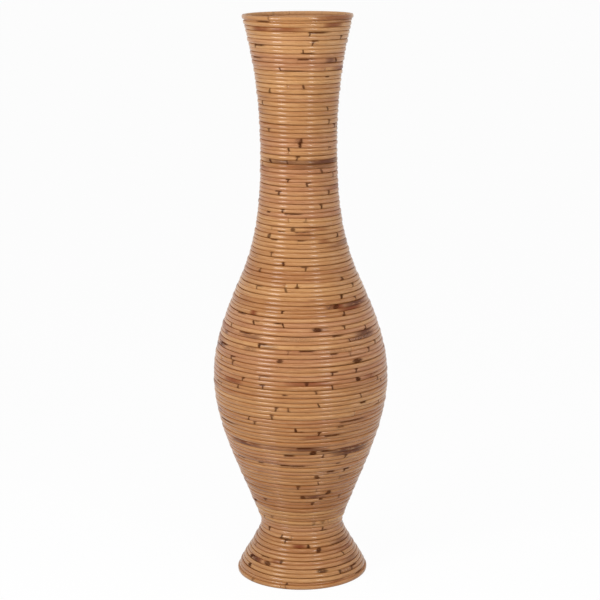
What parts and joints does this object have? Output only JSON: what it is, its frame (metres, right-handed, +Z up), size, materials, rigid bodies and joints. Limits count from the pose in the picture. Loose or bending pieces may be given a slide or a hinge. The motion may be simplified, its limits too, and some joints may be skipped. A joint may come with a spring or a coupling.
{
  "type": "rattan floor vase",
  "caption": "Tall floor vase of round rattan canes wound in a rising coil on a frame of ribs and hoops, with a flared mouth, slim neck, full belly, pinched waist and spread foot.",
  "frame": {"origin": "centre of the foot, on the floor", "axes": "+Z up along the vase's axis; the picture's side faces -Y"},
  "size_m": [0.3106, 0.3028, 1],
  "materials": {
    "varnished_cane": "satin varnish, honey to red-brown",
    "frame_rattan": "plain peeled rattan",
    "plywood": "unfinished plywood"
  },
  "bodies": {
    "root": {"foot_ring": "varnished_cane", "rim_ring": "varnished_cane", "cane_01": "varnished_cane", "cane_02": "varnished_cane", "cane_03": "varnished_cane", "cane_04": "varnished_cane", "cane_05": "varnished_cane", "cane_06": "varnished_cane", "cane_07": "varnished_cane", "cane_08": "varnished_cane", "cane_09": "varnished_cane", "cane_10": "varnished_cane", "cane_11": "varnished_cane", "cane_12": "varnished_cane", "cane_13": "varnished_cane", "cane_14": "varnished_cane", "cane_15": "varnished_cane", "cane_16": "varnished_cane", "cane_17": "varnished_cane", "cane_18": "varnished_cane", "cane_19": "varnished_cane", "cane_20": "varnished_cane", "cane_21": "varnished_cane", "cane_22": "varnished_cane", "cane_23": "varnished_cane", "cane_24": "varnished_cane", "cane_25": "varnished_cane", "cane_26": "varnished_cane", "cane_27": "varnished_cane", "cane_28": "varnished_cane", "cane_29": "varnished_cane", "cane_30": "varnished_cane", "cane_31": "varnished_cane", "cane_32": "varnished_cane", "cane_33": "varnished_cane", "cane_34": "varnished_cane", "cane_35": "varnished_cane", "cane_36": "varnished_cane", "lower_rib_1": "frame_rattan", "lower_rib_2": "frame_rattan", "lower_rib_3": "frame_rattan", "lower_rib_4": "frame_rattan", "lower_rib_5": "frame_rattan", "lower_rib_6": "frame_rattan", "lower_rib_7": "frame_rattan", "upper_rib_1": "frame_rattan", "upper_rib_2": "frame_rattan", "upper_rib_3": "frame_rattan", "upper_rib_4": "frame_rattan", "upper_rib_5": "frame_rattan", "upper_rib_6": "frame_rattan", "upper_rib_7": "frame_rattan", "mouth_hoop": "frame_rattan", "neck_hoop": "frame_rattan", "belly_hoop": "frame_rattan", "waist_hoop": "frame_rattan", "foot_hoop": "frame_rattan", "base_board": "plywood"}
  },
  "joints": []
}
